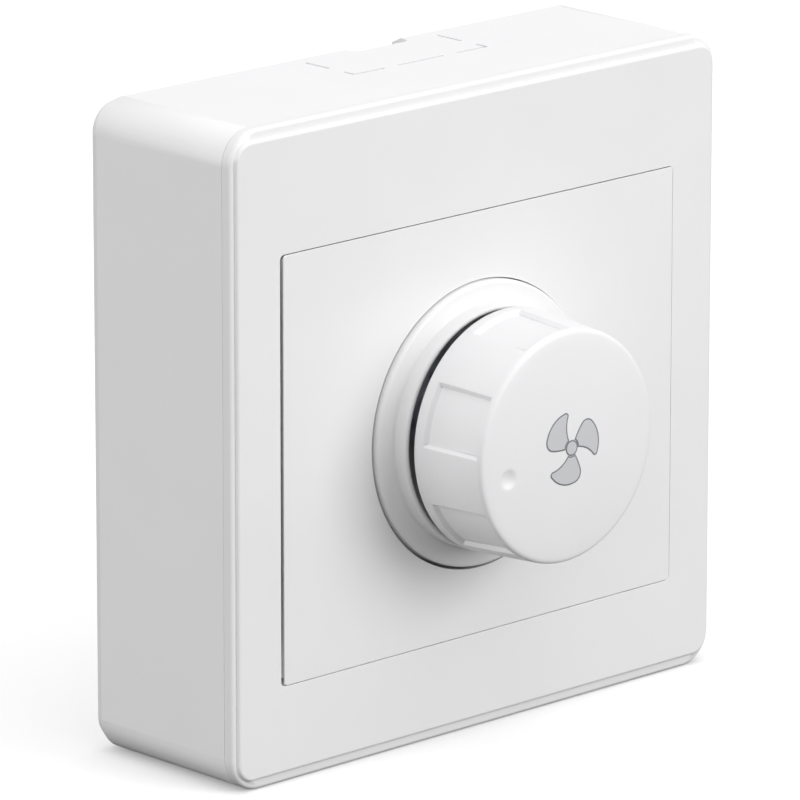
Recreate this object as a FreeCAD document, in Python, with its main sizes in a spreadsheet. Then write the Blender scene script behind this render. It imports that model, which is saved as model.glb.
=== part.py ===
import FreeCAD, Part
import math
import os
import re
import Sketcher
from FreeCAD import Placement, Rotation, Vector

# A wall-mounted rotary speed controller for a fan.  Millimetres, +Z up, +X to the right as seen
# from the front.  The origin is the centre of the rear face, on the wall; the front faces -Y.
# A "depth" is a distance from the wall towards the front, so depth 5 is the plane Y = -5.

SIZES = {
    # back box
    "plate_side": 86.0, "corner_radius": 4.5, "box_depth": 25.0, "box_wall": 2.5, "rear_wall": 2.2,
    "rear_bevel_depth": 1.6, "rear_bevel_side": 0.8,
    "fixing_spacing": 50.0, "fixing_hole_radius": 2.25,
    "cable_entry_radius": 9.0, "cable_entry_height": -21.0,
    "notch_width": 9.8, "notch_depth": 3.5, "notch_centre": 5.0, "notch_reach": 5.0,
    "boss_spacing": 60.3, "boss_radius": 3.4, "boss_pilot_radius": 1.35, "strap_seat": 21.0,
    "slit_width": 0.5, "knockout_left": -8.9, "knockout_right": 14.6, "knockout_front": 12.8,
    "dash_corner": 5.6, "dash_middle": 8.1, "dash_turn": 1.8, "dash_side": 4.6, "dash_tick": 1.0,
    "dash_bridge": 2.6,
    "lug_window_width": 9.0, "lug_window_depth": 0.9, "lug_spread": 24.0,
    # cover frame and centre plate
    "frame_rim": 1.5, "frame_rise": 0.5, "frame_inset": 0.75, "frame_step": 1.4,
    "face_radius": 2.5, "frame_edge": 0.35,
    "skirt_gap": 0.15, "skirt_wall": 1.4, "skirt_reach": 2.5, "ledge_thickness": 1.0, "ledge_width": 1.5,
    "lug_proud": 0.6,
    "insert_width": 69.5, "insert_height": 56.0, "insert_gap": 0.2, "insert_shift": 0.12,
    "insert_radius": 0.5,
    "axis_height": -2.0, "insert_edge": 0.2, "collar_hole_gap": 0.25,
    "hook_width": 6.0, "hook_wall": 1.2, "hook_reach": 2.6, "hook_barb": 0.6, "hook_spread": 36.0,
    # collar around the spindle
    "collar_radius": 18.9, "collar_rise": 0.8, "collar_neck": 16.1,
    "collar_top": 29.95, "collar_bore": 14.0, "collar_lip": 15.5, "collar_bevel": 28.0,
    "collar_flange": 20.3, "collar_flange_depth": 23.4, "collar_flange_gap": 0.2,
    "stake_radius": 0.9, "stake_circle": 15.0, "stake_reach": 1.9,
    # knob
    "knob_base": 31.35, "knob_base_radius": 16.1, "knob_top_radius": 15.3, "knob_rim": 42.9,
    "knob_crown": 43.7, "knob_edge": 0.7, "knob_wall": 1.8,
    "knob_hub_radius": 5.6, "knob_hub_base": 32.4, "grip_rim": 33.0, "grip_top": 42.1,
    "grip_angle": 31.0, "grip_first_angle": 11.0, "grip_step": 0.55, "grip_panels": 6,
    "dimple_circle": 11.0, "dimple_angle": 191.5, "dimple_radius": 1.5, "dimple_depth": 0.45,
    "dimple_surface": 43.29,
    "symbol_floor": 43.2, "symbol_hub": 1.05, "symbol_radius": 4.95, "blade_root": 1.35,
    # spindle and its bush
    "spindle_radius": 3.0, "spindle_rear": 15.45, "spindle_front": 40.8, "spindle_flat": 1.5,
    "running_gap": 0.05,
    "clip_radius": 4.6, "clip_groove": 2.5, "clip_rear": 19.5, "clip_thickness": 0.6,
    "bush_radius": 5.0, "bush_front": 27.0, "washer_radius": 7.0, "washer_thickness": 0.5,
    "nut_flats": 13.0, "nut_thickness": 2.0,
    "can_radius": 8.5, "can_wall": 0.8, "can_rear": 14.5,
    "track_rear": 14.6, "track_thickness": 1.2, "track_radius": 7.4, "track_bore": 3.9,
    "tongue_width": 13.2, "tongue_reach": 11.6,
    "rotor_radius": 6.9, "rotor_rear": 16.6, "rotor_thickness": 1.6,
    "spring_strip": 0.3, "spring_width": 2.4, "spring_length": 7.0,
    # push switch behind the spindle
    "switch_side": 12.0, "switch_rear": 9.0, "switch_front": 14.3, "switch_wall": 0.8,
    "plunger_radius": 2.0, "plunger_flange": 3.4, "plunger_flange_thickness": 0.8, "plunger_tip": 15.25,
    "dome_thickness": 0.25, "dome_crown": 1.3,
    # mounting strap
    "strap_width": 72.0, "strap_height": 44.0, "strap_thickness": 1.2, "strap_end_height": 16.0,
    "strap_neck": 50.0, "strap_slot_width": 4.0, "strap_slot_length": 6.0, "strap_screw_head": 3.3,
    "strap_screw_head_height": 1.6, "strap_screw_shank": 1.3, "strap_screw_length": 12.0,
    "access_radius": 3.6,
    # circuit board and its parts
    "board_width": 52.0, "board_bottom": -34.5, "board_top": 27.0, "board_rear": 7.4,
    "board_front": 9.0, "lead_radius": 0.4, "lead_hole_radius": 0.55, "lead_end": 6.7,
    "pillar_radius": 2.0, "pillar_bore": 1.05, "board_screw_head": 1.9, "board_screw_head_height": 0.7,
    "choke_x": -14.5, "choke_z": 14.0, "choke_depth": 13.8, "choke_ring": 6.5, "choke_section": 5.0,
    "choke_height": 5.5, "choke_turns": 14, "choke_turn_radius": 4.25, "choke_wire": 0.4,
    "capacitor_width": 18.0, "capacitor_height": 11.0, "capacitor_thickness": 6.0,
    "capacitor_x": 14.5, "capacitor_z": 20.5, "capacitor_pitch": 15.0,
    "sink_left": 10.5, "sink_right": 25.4, "sink_bottom": -8.0, "sink_top": 15.6, "sink_thickness": 2.0,
    "triac_x": 18.5, "triac_hole_z": 12.0, "triac_width": 10.0, "triac_body": 9.0,
    "triac_thickness": 4.4, "tab_thickness": 1.3, "tab_length": 6.3, "tab_hole_radius": 1.8,
    "triac_pitch": 2.54, "triac_leg": 0.7, "triac_leg_reach": 3.0,
    "triac_screw_radius": 1.5, "triac_screw_head": 2.5, "triac_screw_head_height": 1.1,
    "fuse_x": -20.0, "fuse_z": -12.5, "fuse_depth": 13.2, "fuse_radius": 2.4, "fuse_length": 20.0,
    "fuse_wall": 0.4, "cap_radius": 2.6, "cap_length": 5.0, "clip_wall": 0.4, "fuse_clip_length": 3.6,
    "terminal_pitch": 7.5, "terminal_bottom": -34.0, "terminal_depth": 10.0, "terminal_height": 11.0,
    "terminal_cell": 5.4, "terminal_cell_floor": 1.2, "terminal_screw_radius": 1.5,
    "terminal_screw_head": 2.2, "clamp_wall": 0.8,
    "resistor_radius": 1.15, "resistor_length": 6.2, "resistor_pitch": 10.0, "resistor_z": -20.6,
    "diac_radius": 0.95, "diac_length": 3.9, "disc_width": 6.0, "disc_thickness": 2.5, "disc_height": 6.5,
    "trimmer_x": 20.0, "trimmer_z": -13.0, "trimmer_side": 7.0, "trimmer_height": 4.0,
    "trimmer_rotor_radius": 2.8, "trimmer_rotor_height": 1.6,
    "body_gap": 0.2, "driver_slot": 0.8, "strap_front_face": 22.2, "track_front": 15.8,
    "lug_depth_low": 22.7, "lug_depth_high": 24.3, "lug_play": 0.2,
    "collar_round": 0.45, "collar_top_round": 0.3, "contact_thickness": 0.4,
    "pillar_left_x": -23.3, "pillar_left_z": 0.25, "pillar_right_x": 23.5, "pillar_right_z": -20.5,
    "pillar_top_x": 1.0, "pillar_top_z": 17.0, "pillar_bore_depth": 6.0,
    "sink_fin_thickness": 1.5, "sink_fin_rear": 11.0, "tab_hole_rise": 3.6, "triac_leg_depth": 15.8,
    "triac_screw_length": 7.4, "triac_nut_flats": 5.5, "triac_nut_thickness": 2.2,
    "cap_wall": 0.3, "top_of_cell": 17.0, "terminal_cage": 7.0,
    "terminal_screw_head_height": 1.6, "terminal_screw_length": 4.2,
    "axial_rise": 1.4, "resistor_x": -9.0, "resistor_row": 2.9, "disc_x": 7.0, "disc_z": -16.2,
    "disc_pitch": 4.0, "switch_pin_pitch": 6.0, "track_pin_pitch": 5.08, "track_pin_reach": 10.4,
    "diac_x": 7.5, "diac_z": -20.8, "diac_pitch": 7.5, "trimmer_pivot": 1.0, "trimmer_pivot_reach": 1.5,
}

doc = FreeCAD.newDocument("fan_speed_controller")
sheet = doc.addObject("Spreadsheet::Sheet", "Sizes")
for row, (alias, size) in enumerate(SIZES.items(), start=1):
    sheet.set("A%d" % row, alias.replace("_", " "))
    sheet.set("B%d" % row, str(size))
    sheet.setAlias("B%d" % row, alias)
doc.recompute()

FRONTWARDS = Rotation(Vector(1, 0, 0), 90)      # turns a primitive's own +Z to the front, -Y
pieces = {}


def bound(text):
    """The sheet expression for a formula written with bare size names."""
    return re.sub(r"[a-z][a-z_]+", lambda word: "Sizes." + word.group(0), str(text))


def number(text):
    """The present value of a formula written with bare size names."""
    return float(sheet.evalExpression(bound(text)))


def keep(name, piece):
    """Registers a finished piece under the name of its node."""
    piece.Label = name
    pieces[name] = piece
    return piece


def place(thing, x="0", y="0", z="0", turn=None):
    """Binds a primitive's placement to the sheet."""
    thing.Placement = Placement(Vector(), turn or Rotation())
    thing.setExpression("Placement.Base.x", bound(x))
    thing.setExpression("Placement.Base.y", bound(y))
    thing.setExpression("Placement.Base.z", bound(z))
    return thing


def round_bar(name, radius, rear, front, x="0", z="axis_height"):
    """A solid cylinder along the knob's direction, between two depths."""
    bar = doc.addObject("Part::Cylinder", name)
    bar.setExpression("Radius", bound(radius))
    bar.setExpression("Height", bound("(%s) - (%s)" % (front, rear)))
    return place(bar, x, "-(%s)" % rear, z, FRONTWARDS)


def cone_bar(name, rear_radius, front_radius, rear, front, x="0", z="axis_height"):
    """A solid cone along the knob's direction, between two depths."""
    bar = doc.addObject("Part::Cone", name)
    bar.setExpression("Radius1", bound(rear_radius))
    bar.setExpression("Radius2", bound(front_radius))
    bar.setExpression("Height", bound("(%s) - (%s)" % (front, rear)))
    return place(bar, x, "-(%s)" % rear, z, FRONTWARDS)


def cross_bar(name, radius, length, x, depth, z, turn):
    """A solid cylinder square to the knob's direction, centred on a point."""
    bar = doc.addObject("Part::Cylinder", name)
    bar.setExpression("Radius", bound(radius))
    bar.setExpression("Height", bound(length))
    start_x = "(%s) - (%s) / 2" % (x, length) if turn is ALONG_X else x
    start_z = "(%s) - (%s) / 2" % (z, length) if turn is UPRIGHT else z
    return place(bar, start_x, "-(%s)" % depth, start_z, turn)


UPRIGHT = Rotation()
ALONG_X = Rotation(Vector(0, 1, 0), 90)


def block(name, width, height, rear, front, x="0", z="axis_height"):
    """A box centred on x and z, between two depths."""
    box = doc.addObject("Part::Box", name)
    box.setExpression("Length", bound(width))
    box.setExpression("Width", bound("(%s) - (%s)" % (front, rear)))
    box.setExpression("Height", bound(height))
    return place(box, "(%s) - (%s) / 2" % (x, width), "-(%s)" % front, "(%s) - (%s) / 2" % (z, height))


def cut(name, base, *tools):
    """The base with every tool taken out of it."""
    for index, tool in enumerate(tools):
        step = doc.addObject("Part::Cut", "%s_cut_%d" % (name, index))
        step.Base = base
        step.Tool = tool
        base = step
    return base


def fuse(name, *shapes):
    """Several overlapping or touching solids joined into one."""
    joined = doc.addObject("Part::MultiFuse", name + "_fuse")
    joined.Shapes = list(shapes)
    joined.Refine = True
    return joined


def group(name, *shapes):
    """Separate solids that share one node."""
    bunch = doc.addObject("Part::Compound", name + "_group")
    bunch.Links = list(shapes)
    return bunch


def new_body(name):
    return doc.addObject("PartDesign::Body", name)


def new_sketch(body, name, plane="XZ_Plane", depth="0", rise="0"):
    """A sketch on one of the body's own origin planes, moved out along the plane's normal."""
    sketch = body.newObject("Sketcher::SketchObject", name)
    origin_plane = next(item for item in body.Origin.OriginFeatures if item.Role == plane)
    sketch.AttachmentSupport = (origin_plane, "")
    sketch.MapMode = "FlatFace"
    sketch.setExpression("AttachmentOffset.Base.z", bound(depth))
    sketch.setExpression("AttachmentOffset.Base.y", bound(rise))
    return sketch


def bind(sketch, kind, *where):
    """Adds a dimension whose last argument is a formula."""
    formula = where[-1]
    index = sketch.addConstraint(Sketcher.Constraint(kind, *where[:-1], number(formula)))
    sketch.setExpression("Constraints[%d]" % index, bound(formula))


def draw_circle(sketch, radius, x="0", z="0"):
    centre = Vector(number(x), number(z), 0)
    item = sketch.addGeometry(Part.Circle(centre, Vector(0, 0, 1), number(radius)), False)
    bind(sketch, "Radius", item, radius)
    bind(sketch, "DistanceX", -1, 1, item, 3, x)
    bind(sketch, "DistanceY", -1, 1, item, 3, z)


def draw_rectangle(sketch, width, height, x="0", z="0"):
    left, right = number("(%s) - (%s) / 2" % (x, width)), number("(%s) + (%s) / 2" % (x, width))
    low, high = number("(%s) - (%s) / 2" % (z, height)), number("(%s) + (%s) / 2" % (z, height))
    corners = [Vector(left, low, 0), Vector(right, low, 0), Vector(right, high, 0), Vector(left, high, 0)]
    first = sketch.GeometryCount
    for index in range(4):
        sketch.addGeometry(Part.LineSegment(corners[index], corners[(index + 1) % 4]), False)
    for index in range(4):
        follower = first + (index + 1) % 4
        sketch.addConstraint(Sketcher.Constraint("Coincident", first + index, 2, follower, 1))
        sketch.addConstraint(Sketcher.Constraint("Vertical" if index % 2 else "Horizontal", first + index))
    bind(sketch, "DistanceX", first, 1, first, 2, width)
    bind(sketch, "DistanceY", first + 1, 1, first + 1, 2, height)
    bind(sketch, "DistanceX", -1, 1, first, 1, "(%s) - (%s) / 2" % (x, width))
    bind(sketch, "DistanceY", -1, 1, first, 1, "(%s) - (%s) / 2" % (z, height))


def draw_rounded_rectangle(sketch, width, height, radius, x="0", z="0"):
    half_w, half_h, r = number(width) / 2, number(height) / 2, number(radius)
    centre = Vector(number(x), number(z), 0)
    first = sketch.GeometryCount
    turns = [(1, -1, -90), (1, 1, 0), (-1, 1, 90), (-1, -1, 180)]
    for side_x, side_z, start in turns:
        arc_centre = centre + Vector(side_x * (half_w - r), side_z * (half_h - r), 0)
        circle = Part.Circle(arc_centre, Vector(0, 0, 1), r)
        sketch.addGeometry(Part.ArcOfCircle(circle, math.radians(start), math.radians(start + 90)), False)
    for index in range(4):
        start = sketch.getPoint(first + index, 2)
        end = sketch.getPoint(first + (index + 1) % 4, 1)
        sketch.addGeometry(Part.LineSegment(start, end), False)
    right, top, left, bottom = (first + 4 + index for index in range(4))
    for index, line in enumerate((right, top, left, bottom)):
        sketch.addConstraint(Sketcher.Constraint("Tangent", first + index, 2, line, 1))
        sketch.addConstraint(Sketcher.Constraint("Tangent", line, 2, first + (index + 1) % 4, 1))
        sketch.addConstraint(Sketcher.Constraint("Horizontal" if index % 2 else "Vertical", line))
    for index in range(1, 4):
        sketch.addConstraint(Sketcher.Constraint("Equal", first, first + index))
    bind(sketch, "Radius", first, radius)
    bind(sketch, "DistanceX", left, 1, right, 1, width)
    bind(sketch, "DistanceY", bottom, 1, top, 1, height)
    bind(sketch, "DistanceX", -1, 1, left, 1, "(%s) - (%s) / 2" % (x, width))
    bind(sketch, "DistanceY", -1, 1, bottom, 1, "(%s) - (%s) / 2" % (z, height))


def draw_profile(sketch, corners, crown=None):
    """A closed outline for a turned piece; each corner is a radius and a depth.

    The side that starts at the corner numbered crown, and ends on the axis, is an arc about it.
    """
    points = [Vector(-number(depth), number(radius), 0) for radius, depth in corners]
    count = len(points)
    for index in range(count):
        start, end = points[index], points[(index + 1) % count]
        if index == crown:
            rise = start.x - end.x
            dome = (start.y ** 2 + rise ** 2) / (2 * rise)
            reach = math.asin(start.y / dome)
            circle = Part.Circle(Vector(end.x + dome, 0, 0), Vector(0, 0, 1), dome)
            sketch.addGeometry(Part.ArcOfCircle(circle, math.pi - reach, math.pi), False)
            sketch.addConstraint(Sketcher.Constraint("PointOnObject", index, 3, -1))
        else:
            sketch.addGeometry(Part.LineSegment(start, end), False)
    for index, (radius, depth) in enumerate(corners):
        sketch.addConstraint(Sketcher.Constraint("Coincident", index, 2, (index + 1) % count, 1))
        bind(sketch, "DistanceX", -1, 1, index, 1, "-(%s)" % depth)
        if radius == "0":
            sketch.addConstraint(Sketcher.Constraint("PointOnObject", index, 1, -1))
        else:
            bind(sketch, "DistanceY", -1, 1, index, 1, radius)


def pad(body, sketch, length):
    feature = body.newObject("PartDesign::Pad", sketch.Name + "_pad")
    feature.Profile = sketch
    feature.setExpression("Length", bound(length))
    sketch.Visibility = False
    return feature


def pocket(body, sketch, length):
    """Cuts from the sketch back along its own normal."""
    feature = body.newObject("PartDesign::Pocket", sketch.Name + "_pocket")
    feature.Profile = sketch
    feature.setExpression("Length", bound(length))
    doc.recompute()
    before = feature.BaseFeature.Shape.Volume
    if before - feature.Shape.Volume < 1e-3:
        raise RuntimeError(sketch.Name + " cuts nothing")
    return feature


def revolve(body, sketch):
    """A full turn about the knob's axis, which is the sketch's own horizontal axis."""
    feature = body.newObject("PartDesign::Revolution", sketch.Name + "_turn")
    feature.Profile = sketch
    feature.ReferenceAxis = (sketch, ["H_Axis"])
    feature.Angle = 360.0
    return feature


def dress(body, kind, size, wanted):
    """A fillet or chamfer on the edges of the tip that pass a test."""
    doc.recompute()
    base = body.Tip
    names = ["Edge%d" % (index + 1) for index, edge in enumerate(base.Shape.Edges) if wanted(edge)]
    if not names:
        raise RuntimeError("no edge to dress on " + body.Name)
    feature = body.newObject("PartDesign::" + kind, "%s_%s" % (base.Name, kind.lower()))
    feature.Base = (base, names)
    feature.setExpression("Radius" if kind == "Fillet" else "Size", bound(size))
    return feature


def at_depth(edge, depth):
    """Whether an edge lies wholly in the plane at a depth."""
    box = edge.BoundBox
    return abs(box.YMin + depth) < 1e-4 and abs(box.YMax + depth) < 1e-4


def is_ring(edge, radius, depth):
    """Whether an edge is a circle of a radius at a depth."""
    return not edge.Degenerated and isinstance(edge.Curve, Part.Circle) \
        and abs(edge.Curve.Radius - radius) < 1e-4 and at_depth(edge, depth)


def make_back_box():
    """Moulded box with fixing holes, cable entries, a scored knock-out and two strap bosses."""
    body = new_body("box_moulding")
    outline = new_sketch(body, "box_outline")
    draw_rounded_rectangle(outline, "plate_side", "plate_side", "corner_radius")
    pad(body, outline, "box_depth")
    half = number("plate_side / 2")
    bevel = dress(body, "Chamfer", "rear_bevel_depth",
                  lambda edge: at_depth(edge, 0) and reaches(edge, half))
    bevel.ChamferType = "Two distances"
    bevel.setExpression("Size2", bound("rear_bevel_side"))
    doc.recompute()
    if not any(at_depth(edge, number("rear_bevel_depth")) for edge in bevel.Shape.Edges):
        bevel.FlipDirection = True
    cavity = new_sketch(body, "box_cavity", depth="box_depth")
    inside = "plate_side - 2 * box_wall"
    draw_rounded_rectangle(cavity, inside, inside, "corner_radius - box_wall")
    pocket(body, cavity, "box_depth - rear_wall")
    bosses = new_sketch(body, "box_bosses", depth="rear_wall")
    for side in ("", "-"):
        draw_circle(bosses, "boss_radius", side + "boss_spacing / 2", "axis_height")
    pad(body, bosses, "strap_seat - rear_wall")
    pilots = new_sketch(body, "boss_pilots", depth="strap_seat")
    for side in ("", "-"):
        draw_circle(pilots, "boss_pilot_radius", side + "boss_spacing / 2", "axis_height")
    pocket(body, pilots, "strap_screw_length + body_gap")
    entries = new_sketch(body, "rear_entries", depth="rear_wall")
    draw_circle(entries, "cable_entry_radius", "0", "cable_entry_height")
    for side in ("", "-"):
        draw_circle(entries, "fixing_hole_radius", side + "fixing_spacing / 2", "0")
    pocket(body, entries, "rear_wall")
    notch = new_sketch(body, "cable_notch", "XY_Plane", "plate_side / 2")
    draw_rounded_rectangle(notch, "notch_width", "2 * notch_depth", "slit_width * 2", "notch_centre")
    pocket(body, notch, "notch_reach")
    scores = new_sketch(body, "knockout_scores", "XY_Plane", "plate_side / 2")
    for x, depth, width, length in knockout_dashes():
        draw_rectangle(scores, width, length, x, "-(%s)" % depth)
    pocket(body, scores, "box_wall + slit_width")
    windows = [block("lug_window", "box_wall", "lug_window_width", "lug_depth_low", "lug_depth_high", x, z)
               for x, z in lug_places("(plate_side - box_wall) / 2 - box_wall + lug_window_depth")]
    keep("back_box", cut("back_box", body, *windows))


def reaches(edge, limit):
    """Whether an edge reaches as far from the middle, along X or Z, as the limit."""
    box = edge.BoundBox
    return max(abs(box.XMin), abs(box.XMax), abs(box.ZMin), abs(box.ZMax)) > limit - 1e-4


def knockout_dashes():
    """The scored dashes of the top knock-out: x, depth, width and length of each."""
    front = "knockout_front"
    across = [("knockout_left + (dash_corner - slit_width) / 2", "dash_corner"),
              ("(knockout_left + knockout_right) / 2", "dash_middle"),
              ("knockout_right - (dash_corner - slit_width) / 2", "dash_corner")]
    dashes = [(x, front, length, "slit_width") for x, length in across]
    for side in ("knockout_left", "knockout_right"):
        turn = "knockout_front - (slit_width + dash_turn) / 2"
        middle = "knockout_front - slit_width / 2 - dash_turn - dash_bridge - dash_side / 2"
        dashes += [(side, turn, "slit_width", "dash_turn"), (side, middle, "slit_width", "dash_side"),
                   (side, "0", "slit_width", "2 * dash_tick")]
    return dashes


def lug_places(x):
    """Two snap lugs on the left and two on the right, as x and z formulas."""
    return [("%s(%s)" % (side, x), "%slug_spread" % height) for side in ("", "-") for height in ("", "-")]


def make_cover_frame():
    """Snap-on surround: rim, raised face, ledge for the centre plate, skirt and four lugs."""
    body = new_body("frame_moulding")
    window = ("insert_width + 2 * insert_gap", "insert_height + 2 * insert_gap",
              "insert_radius + insert_gap")
    rim = new_sketch(body, "frame_rim", depth="box_depth")
    draw_rounded_rectangle(rim, "plate_side", "plate_side", "corner_radius")
    draw_rounded_rectangle(rim, *window, z="axis_height")
    pad(body, rim, "frame_rim")
    face = new_sketch(body, "frame_face", depth="box_depth + frame_rim")
    draw_rounded_rectangle(face, "plate_side - 2 * frame_inset", "plate_side - 2 * frame_step", "face_radius")
    draw_rounded_rectangle(face, *window, z="axis_height")
    pad(body, face, "frame_rise")
    ledge = new_sketch(body, "frame_ledge", depth="box_depth - ledge_thickness")
    skirt_side = "plate_side - 2 * box_wall - 2 * skirt_gap"
    skirt_radius = "corner_radius - box_wall - skirt_gap"
    draw_rounded_rectangle(ledge, skirt_side, skirt_side, skirt_radius)
    draw_rounded_rectangle(ledge, "insert_width + 2 * insert_gap - 2 * ledge_width",
                           "insert_height + 2 * insert_gap - 2 * ledge_width", "insert_radius",
                           z="axis_height")
    pad(body, ledge, "ledge_thickness")
    skirt = new_sketch(body, "frame_skirt", depth="box_depth - skirt_reach")
    draw_rounded_rectangle(skirt, skirt_side, skirt_side, skirt_radius)
    inner_side = skirt_side + " - 2 * skirt_wall"
    draw_rounded_rectangle(skirt, inner_side, inner_side, skirt_radius + " - skirt_wall")
    pad(body, skirt, "skirt_reach")
    face_half = number("plate_side / 2 - frame_step")
    front = number("box_depth + frame_rim + frame_rise")
    dress(body, "Fillet", "frame_edge", lambda edge: at_depth(edge, front) and reaches(edge, face_half))
    rim_half, rim_front = number("plate_side / 2"), number("box_depth + frame_rim")
    dress(body, "Fillet", "frame_edge", lambda edge: at_depth(edge, rim_front) and reaches(edge, rim_half))
    lugs = [block("frame_lug", "2 * lug_proud", "lug_window_width - 2 * lug_proud",
                  "lug_depth_low + lug_play", "lug_depth_high - lug_play", x, z)
            for x, z in lug_places("plate_side / 2 - box_wall - skirt_gap")]
    keep("cover_frame", fuse("cover_frame", body, *lugs))


def make_centre_plate():
    """Landscape plate inside the frame, with a hole for the collar and four snap hooks behind."""
    body = new_body("plate_moulding")
    outline = new_sketch(body, "plate_outline", depth="box_depth")
    draw_rounded_rectangle(outline, "insert_width", "insert_height", "insert_radius", "insert_shift",
                           "axis_height")
    draw_circle(outline, "collar_radius + collar_hole_gap", z="axis_height")
    pad(body, outline, "frame_rim + frame_rise")
    front = number("box_depth + frame_rim + frame_rise")
    dress(body, "Fillet", "insert_edge", lambda edge: at_depth(edge, front))
    hooks = []
    stem_x = "insert_width / 2 + insert_gap - ledge_width - skirt_gap - hook_wall / 2"
    for side in ("", "-"):
        for height in ("+", "-"):
            z = "axis_height %s hook_spread / 2" % height
            hooks.append(block("hook_stem", "hook_wall", "hook_width", "box_depth - hook_reach", "box_depth",
                               "%s(%s)" % (side, stem_x), z))
            hooks.append(block("hook_barb", "hook_wall", "hook_width", "box_depth - hook_reach + hook_barb",
                               "box_depth - ledge_thickness - body_gap",
                               "%s(%s + hook_barb)" % (side, stem_x), z))
    keep("centre_plate", fuse("centre_plate", body, *hooks))


def make_knob_collar():
    """Open round collar that stands through the centre plate, with the nut deep inside it."""
    body = new_body("collar_moulding")
    profile = new_sketch(body, "collar_profile", "YZ_Plane")
    strap_front = "strap_seat + strap_thickness"
    band = "box_depth + frame_rim + frame_rise + collar_rise"
    draw_profile(profile, [
        ("collar_bore", strap_front), ("collar_neck", strap_front), ("collar_neck", "collar_flange_depth"),
        ("collar_flange", "collar_flange_depth"), ("collar_flange", "box_depth - collar_flange_gap"),
        ("collar_radius", "box_depth - collar_flange_gap"), ("collar_radius", band),
        ("collar_neck", band), ("collar_neck", "collar_top"), ("collar_lip", "collar_top"),
        ("collar_bore", "collar_bevel")])
    revolve(body, profile)
    band_ring = (number("collar_radius"), number(band))
    dress(body, "Fillet", "collar_round", lambda edge: is_ring(edge, *band_ring))
    top_ring = (number("collar_neck"), number("collar_top"))
    dress(body, "Fillet", "collar_top_round", lambda edge: is_ring(edge, *top_ring))
    place(body, z="axis_height")
    stakes = [round_bar("collar_stake", "stake_radius", "strap_front_face - stake_reach", "strap_front_face",
                        x, z) for x, z in stake_places()]
    keep("knob_collar", fuse("knob_collar", body, *stakes))


def around(radius, angle):
    """The x and z formulas of a point on a circle about the knob's axis."""
    turn = math.radians(angle)
    return "%s * %.6f" % (radius, math.cos(turn)), "axis_height + %s * %.6f" % (radius, math.sin(turn))


def stake_places():
    return [around("stake_circle", angle) for angle in (90, 210, 330)]


def make_knob():
    """Hollow knob with six recessed grip panels, a dimple and an inlaid symbol of a fan."""
    body = new_body("knob_blank")
    profile = new_sketch(body, "knob_profile", "YZ_Plane")
    bore = "spindle_radius + running_gap / 2"
    draw_profile(profile, [
        ("knob_base_radius - knob_wall", "knob_base"), ("knob_base_radius", "knob_base"),
        ("knob_top_radius", "knob_rim"), ("0", "knob_crown"), ("0", "spindle_front + body_gap"),
        (bore, "spindle_front + body_gap"), (bore, "knob_hub_base"), ("knob_hub_radius", "knob_hub_base"),
        ("knob_hub_radius", "knob_rim - knob_wall"), ("knob_top_radius - knob_wall", "knob_rim - knob_wall"),
        ], crown=2)
    revolve(body, profile)
    rim = (number("knob_top_radius"), number("knob_rim"))
    dress(body, "Fillet", "knob_edge", lambda edge: is_ring(edge, *rim))
    panel = new_sketch(body, "grip_panel", "YZ_Plane")
    slope = "(knob_base_radius - knob_top_radius) / (knob_rim - knob_base)"
    low = "knob_base_radius - %s * (grip_rim - knob_base) - grip_step" % slope
    high = "knob_base_radius - %s * (grip_top - knob_base) - grip_step" % slope
    draw_profile(panel, [(low, "grip_rim"), ("knob_base_radius + grip_step", "grip_rim"),
                         ("knob_base_radius + grip_step", "grip_top"), (high, "grip_top")])
    doc.recompute()
    groove = body.newObject("PartDesign::Groove", "grip_groove")
    groove.Profile = panel
    groove.ReferenceAxis = (panel, ["H_Axis"])
    groove.Midplane = True
    groove.setExpression("Angle", bound("grip_angle"))
    pattern = body.newObject("PartDesign::PolarPattern", "grip_pattern")
    pattern.Originals = [groove]
    pattern.Axis = (panel, ["H_Axis"])
    pattern.Angle = 360.0
    pattern.Occurrences = int(number("grip_panels"))
    body.Tip = pattern
    place(body, z="axis_height", turn=Rotation(Vector(0, -1, 0), number("grip_first_angle")))
    dimple = doc.addObject("Part::Sphere", "dimple_ball")
    dimple.setExpression("Radius", bound("dimple_radius"))
    x, z = around("dimple_circle", number("dimple_angle"))
    place(dimple, x, "-(dimple_surface + dimple_radius - dimple_depth)", z)
    dimpled = cut("knob_dimple", body, dimple)
    keep("knob_shell", cut("knob_shell", dimpled, symbol_stamp("symbol_pocket")))
    inlay = doc.addObject("Part::Common", "symbol_inlay")
    inlay.Base = dimpled
    inlay.Tool = symbol_stamp("symbol_fill")
    keep("fan_symbol", inlay)


def symbol_stamp(name):
    """Straight-sided hub and three blades that reach from the inlay's floor out past the crown."""
    height = number("knob_crown - symbol_floor + body_gap")
    push = Vector(0, -height, 0)
    hub_edge = Part.Circle(Vector(), Vector(0, -1, 0), number("symbol_hub")).toShape()
    solids = [Part.Face(Part.Wire(hub_edge)).extrude(push)]
    blade = Part.Face(blade_outline()).extrude(push)
    for turn in (0, 120, 240):
        copy = blade.copy()
        copy.rotate(Vector(), Vector(0, -1, 0), turn)
        solids.append(copy)
    stamp = doc.addObject("Part::Feature", name)
    stamp.Shape = Part.makeCompound(solids)
    stamp.Placement = Placement(Vector(0, -number("symbol_floor"), number("axis_height")), Rotation())
    return stamp


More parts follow.
